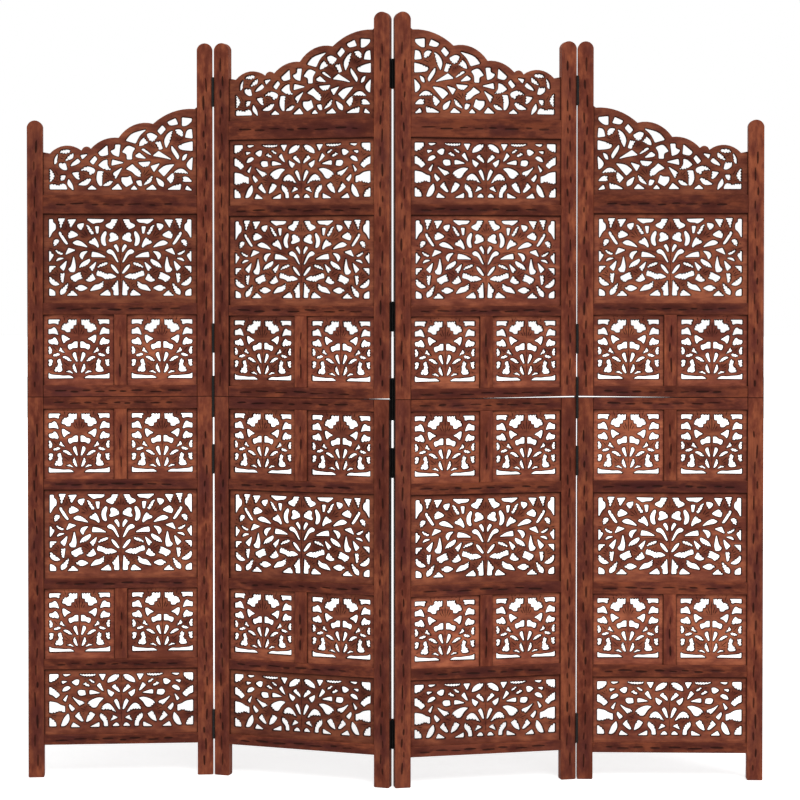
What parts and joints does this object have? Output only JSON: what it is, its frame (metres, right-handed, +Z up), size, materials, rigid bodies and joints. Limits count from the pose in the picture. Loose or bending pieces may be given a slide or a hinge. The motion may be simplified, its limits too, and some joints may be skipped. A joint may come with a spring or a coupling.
{
  "type": "folding screen",
  "caption": "Tall wooden folding screen with pierced floral fretwork panels, scalloped crests and arched posts; its hinged leaves stand in a zigzag to divide a room.",
  "frame": {"origin": "on the floor, under the middle of the box round the standing screen", "axes": "+Z up, +X along the width to the right of a viewer in front, front towards -Y"},
  "size_m": [1.5916, 0.1446, 1.6485],
  "materials": {
    "frame_wood": "satin stain",
    "panel_wood": "satin stain",
    "black_iron": "black lacquer"
  },
  "bodies": {
    "leaf_a": {"leaf_a_lower_left_stile": "frame_wood", "leaf_a_lower_right_stile": "frame_wood", "leaf_a_upper_left_stile": "frame_wood", "leaf_a_upper_right_stile": "frame_wood", "leaf_a_lower_rails": "frame_wood", "leaf_a_upper_rails": "frame_wood", "leaf_a_muntins": "frame_wood", "leaf_a_square_panels": "panel_wood", "leaf_a_tree_panels": "panel_wood", "leaf_a_medium_panels": "panel_wood", "leaf_a_crest_panel": "panel_wood", "leaf_a_straps": "black_iron", "leaf_a_strap_screws": "black_iron", "leaf_a_hinge_leaves": "black_iron"},
    "leaf_b": {"leaf_b_lower_left_stile": "frame_wood", "leaf_b_lower_right_stile": "frame_wood", "leaf_b_upper_left_stile": "frame_wood", "leaf_b_upper_right_stile": "frame_wood", "leaf_b_lower_rails": "frame_wood", "leaf_b_upper_rails": "frame_wood", "leaf_b_muntins": "frame_wood", "leaf_b_square_panels": "panel_wood", "leaf_b_tree_panels": "panel_wood", "leaf_b_medium_panels": "panel_wood", "leaf_b_crest_panel": "panel_wood", "leaf_b_straps": "black_iron", "leaf_b_strap_screws": "black_iron", "leaf_b_hinge_leaves": "black_iron", "leaf_b_left_hinge_pins": "black_iron", "leaf_b_right_hinge_pins": "black_iron"},
    "leaf_c": {"leaf_c_lower_left_stile": "frame_wood", "leaf_c_lower_right_stile": "frame_wood", "leaf_c_upper_left_stile": "frame_wood", "leaf_c_upper_right_stile": "frame_wood", "leaf_c_lower_rails": "frame_wood", "leaf_c_upper_rails": "frame_wood", "leaf_c_muntins": "frame_wood", "leaf_c_square_panels": "panel_wood", "leaf_c_tree_panels": "panel_wood", "leaf_c_medium_panels": "panel_wood", "leaf_c_crest_panel": "panel_wood", "leaf_c_straps": "black_iron", "leaf_c_strap_screws": "black_iron", "leaf_c_hinge_leaves": "black_iron", "leaf_c_right_hinge_pins": "black_iron"},
    "leaf_d": {"leaf_d_lower_left_stile": "frame_wood", "leaf_d_lower_right_stile": "frame_wood", "leaf_d_upper_left_stile": "frame_wood", "leaf_d_upper_right_stile": "frame_wood", "leaf_d_lower_rails": "frame_wood", "leaf_d_upper_rails": "frame_wood", "leaf_d_muntins": "frame_wood", "leaf_d_square_panels": "panel_wood", "leaf_d_tree_panels": "panel_wood", "leaf_d_medium_panels": "panel_wood", "leaf_d_crest_panel": "panel_wood", "leaf_d_straps": "black_iron", "leaf_d_strap_screws": "black_iron", "leaf_d_hinge_leaves": "black_iron"}
  },
  "joints": [
    {"name": "fold_ab", "type": "hinge", "parent": "leaf_b", "child": "leaf_a", "pos_m": [-0.3941, 0.049, 0.8], "axis": [0, 0, 1], "range_deg": [-22, 158]},
    {"name": "fold_bc", "type": "hinge", "parent": "leaf_b", "child": "leaf_c", "pos_m": [-0.00406, -0.04955, 0.8], "axis": [0, 0, 1], "range_deg": [-30, 150]},
    {"name": "fold_cd", "type": "hinge", "parent": "leaf_c", "child": "leaf_d", "pos_m": [0.39414, 0.00769, 0.8], "axis": [0, 0, -1], "range_deg": [-13.7, 166.3]}
  ]
}
